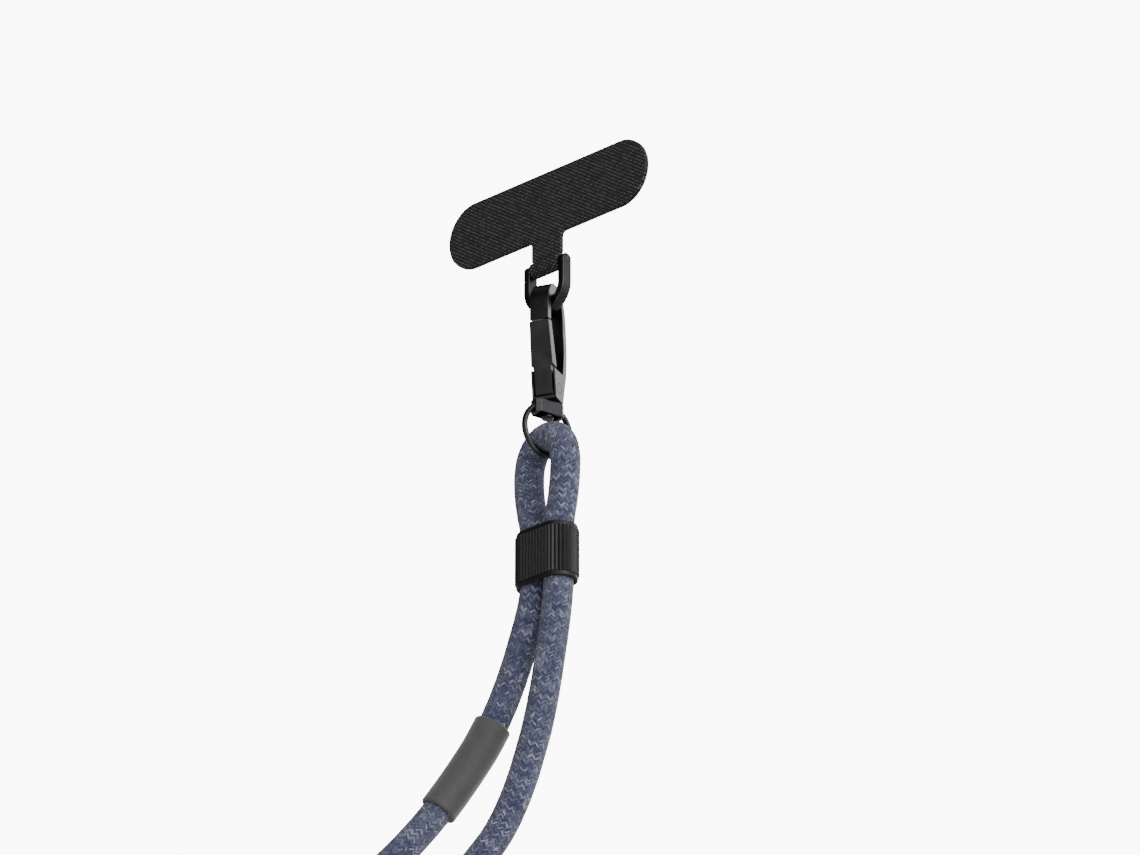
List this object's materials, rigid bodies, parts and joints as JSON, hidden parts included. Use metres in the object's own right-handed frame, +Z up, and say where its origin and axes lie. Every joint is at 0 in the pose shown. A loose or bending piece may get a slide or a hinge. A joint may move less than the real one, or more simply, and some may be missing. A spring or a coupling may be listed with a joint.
{
  "type": "phone crossbody strap",
  "caption": "Rope loop with slider and sleeve on a swivel snap hook, hung by a D-ring from a fabric phone-case tab.",
  "frame": {"origin": "middle of the tab's band, which a phone case holds", "axes": "+Z up along the hanging strap, the tab lies in the XZ plane with its outer face towards -Y"},
  "size_m": [0.2344, 0.051, 0.3501],
  "materials": {
    "tab_fabric": "black basket weave, matt",
    "dark_metal": "gunmetal black, satin",
    "braid": "blue-grey melange braid, matt",
    "slider_plastic": "black, matt",
    "sleeve_rubber": "dark grey, matt"
  },
  "bodies": {
    "tab": {"phone_tab": "tab_fabric"},
    "ring_and_hook": {"cross_pin": "dark_metal", "d_ring": "dark_metal", "hook_body": "dark_metal", "gate_pin": "dark_metal", "swivel_rivet": "dark_metal"},
    "gate": {"hook_gate": "dark_metal"},
    "loop": {"swivel_eye": "dark_metal", "rope": "braid", "rope_slider": "slider_plastic", "rope_sleeve": "sleeve_rubber"}
  },
  "joints": [
    {"name": "ring_swing", "type": "hinge", "parent": "tab", "child": "ring_and_hook", "pos_m": [0, 0, -0.0158], "axis": [1, 0, 0], "range_deg": [-85, 85]},
    {"name": "gate_hinge", "type": "hinge", "parent": "ring_and_hook", "child": "gate", "pos_m": [-0.00004, 0.00009, -0.0474], "axis": [-0.9272, -0.3746, 0], "range_deg": [0, 22]},
    {"name": "swivel", "type": "hinge", "parent": "ring_and_hook", "child": "loop", "pos_m": [0, 0, -0.0524], "axis": [0, 0, 1], "continuous": true}
  ]
}
